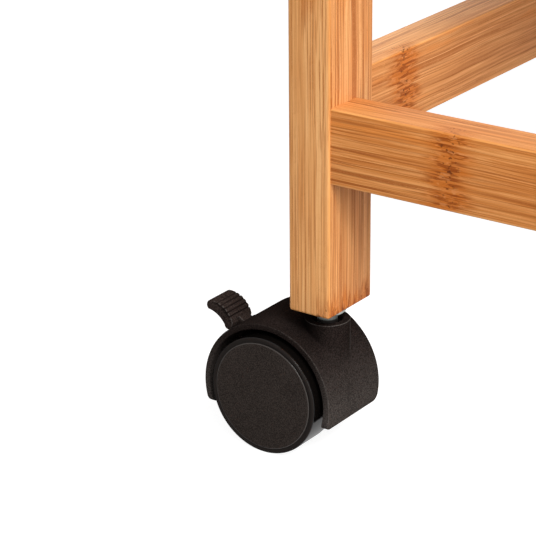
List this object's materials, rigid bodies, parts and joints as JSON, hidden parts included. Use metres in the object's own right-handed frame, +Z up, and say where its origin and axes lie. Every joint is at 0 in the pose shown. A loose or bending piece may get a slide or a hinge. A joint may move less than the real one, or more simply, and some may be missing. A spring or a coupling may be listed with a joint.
{
  "type": "kitchen cart",
  "caption": "Bamboo kitchen cart with a worktop, two slatted shelves and an open base frame, on swivelling twin-wheel casters with foot brakes at the front.",
  "frame": {"origin": "on the floor below the middle of the cart", "axes": "+X along the front from left to right, +Y from the front to the back, +Z up"},
  "size_m": [0.6328, 0.38, 0.82],
  "materials": {
    "frame_bamboo": "satin",
    "slat_bamboo": "satin",
    "worktop_bamboo": "satin",
    "housing_plastic": "fine grain",
    "pedal_plastic": "fine grain",
    "wheel_plastic": "smooth tread",
    "zinc_steel": "zinc plated"
  },
  "bodies": {
    "frame": {"base_rail_back": "frame_bamboo", "base_rail_front": "frame_bamboo", "base_side_rail_left": "frame_bamboo", "base_side_rail_right": "frame_bamboo", "caster_stems": "zinc_steel", "connector_screws": "zinc_steel", "leg_back_left": "frame_bamboo", "leg_back_right": "frame_bamboo", "leg_front_left": "frame_bamboo", "leg_front_right": "frame_bamboo", "lower_shelf_side_rail_left": "frame_bamboo", "lower_shelf_side_rail_right": "frame_bamboo", "lower_shelf_slat_1": "slat_bamboo", "lower_shelf_slat_2": "slat_bamboo", "lower_shelf_slat_3": "slat_bamboo", "lower_shelf_slat_4": "slat_bamboo", "lower_shelf_slat_5": "slat_bamboo", "lower_shelf_slat_6": "slat_bamboo", "top_side_rail_left": "frame_bamboo", "top_side_rail_right": "frame_bamboo", "upper_shelf_side_rail_left": "frame_bamboo", "upper_shelf_side_rail_right": "frame_bamboo", "upper_shelf_slat_1": "slat_bamboo", "upper_shelf_slat_2": "slat_bamboo", "upper_shelf_slat_3": "slat_bamboo", "upper_shelf_slat_4": "slat_bamboo", "upper_shelf_slat_5": "slat_bamboo", "upper_shelf_slat_6": "slat_bamboo", "worktop": "worktop_bamboo"},
    "caster_front_left": {"caster_housing_front_left": "housing_plastic", "caster_axle_front_left": "zinc_steel", "brake_pin_front_left": "zinc_steel"},
    "wheel_front_left_near": {"caster_wheel_front_left_near": "wheel_plastic"},
    "wheel_front_left_far": {"caster_wheel_front_left_far": "wheel_plastic"},
    "pedal_front_left": {"brake_pedal_front_left": "pedal_plastic"},
    "caster_front_right": {"caster_housing_front_right": "housing_plastic", "caster_axle_front_right": "zinc_steel", "brake_pin_front_right": "zinc_steel"},
    "wheel_front_right_near": {"caster_wheel_front_right_near": "wheel_plastic"},
    "wheel_front_right_far": {"caster_wheel_front_right_far": "wheel_plastic"},
    "pedal_front_right": {"brake_pedal_front_right": "pedal_plastic"},
    "caster_back_left": {"caster_housing_back_left": "housing_plastic", "caster_axle_back_left": "zinc_steel"},
    "wheel_back_left_near": {"caster_wheel_back_left_near": "wheel_plastic"},
    "wheel_back_left_far": {"caster_wheel_back_left_far": "wheel_plastic"},
    "caster_back_right": {"caster_housing_back_right": "housing_plastic", "caster_axle_back_right": "zinc_steel"},
    "wheel_back_right_near": {"caster_wheel_back_right_near": "wheel_plastic"},
    "wheel_back_right_far": {"caster_wheel_back_right_far": "wheel_plastic"}
  },
  "joints": [
    {"name": "swivel_front_left", "type": "hinge", "parent": "frame", "child": "caster_front_left", "pos_m": [-0.26025, -0.1565, 0.05], "axis": [0, 0, 1], "continuous": true},
    {"name": "spin_front_left_near", "type": "hinge", "parent": "caster_front_left", "child": "wheel_front_left_near", "pos_m": [-0.27765, -0.1565, 0.0253], "axis": [0, 1, 0], "continuous": true},
    {"name": "spin_front_left_far", "type": "hinge", "parent": "caster_front_left", "child": "wheel_front_left_far", "pos_m": [-0.27765, -0.1565, 0.0253], "axis": [0, 1, 0], "continuous": true},
    {"name": "brake_front_left", "type": "hinge", "parent": "caster_front_left", "child": "pedal_front_left", "pos_m": [-0.30049, -0.1565, 0.04366], "axis": [0, -1, 0], "range_deg": [0, 30]},
    {"name": "swivel_front_right", "type": "hinge", "parent": "frame", "child": "caster_front_right", "pos_m": [0.26025, -0.1565, 0.05], "axis": [0, 0, 1], "continuous": true},
    {"name": "spin_front_right_near", "type": "hinge", "parent": "caster_front_right", "child": "wheel_front_right_near", "pos_m": [0.27765, -0.1565, 0.0253], "axis": [0, 1, 0], "continuous": true},
    {"name": "spin_front_right_far", "type": "hinge", "parent": "caster_front_right", "child": "wheel_front_right_far", "pos_m": [0.27765, -0.1565, 0.0253], "axis": [0, 1, 0], "continuous": true},
    {"name": "brake_front_right", "type": "hinge", "parent": "caster_front_right", "child": "pedal_front_right", "pos_m": [0.30049, -0.1565, 0.04366], "axis": [0, 1, 0], "range_deg": [0, 30]},
    {"name": "swivel_back_left", "type": "hinge", "parent": "frame", "child": "caster_back_left", "pos_m": [-0.26025, 0.1565, 0.05], "axis": [0, 0, 1], "continuous": true},
    {"name": "spin_back_left_near", "type": "hinge", "parent": "caster_back_left", "child": "wheel_back_left_near", "pos_m": [-0.27765, 0.1565, 0.0253], "axis": [0, 1, 0], "continuous": true},
    {"name": "spin_back_left_far", "type": "hinge", "parent": "caster_back_left", "child": "wheel_back_left_far", "pos_m": [-0.27765, 0.1565, 0.0253], "axis": [0, 1, 0], "continuous": true},
    {"name": "swivel_back_right", "type": "hinge", "parent": "frame", "child": "caster_back_right", "pos_m": [0.26025, 0.1565, 0.05], "axis": [0, 0, 1], "continuous": true},
    {"name": "spin_back_right_near", "type": "hinge", "parent": "caster_back_right", "child": "wheel_back_right_near", "pos_m": [0.27765, 0.1565, 0.0253], "axis": [0, 1, 0], "continuous": true},
    {"name": "spin_back_right_far", "type": "hinge", "parent": "caster_back_right", "child": "wheel_back_right_far", "pos_m": [0.27765, 0.1565, 0.0253], "axis": [0, 1, 0], "continuous": true}
  ]
}
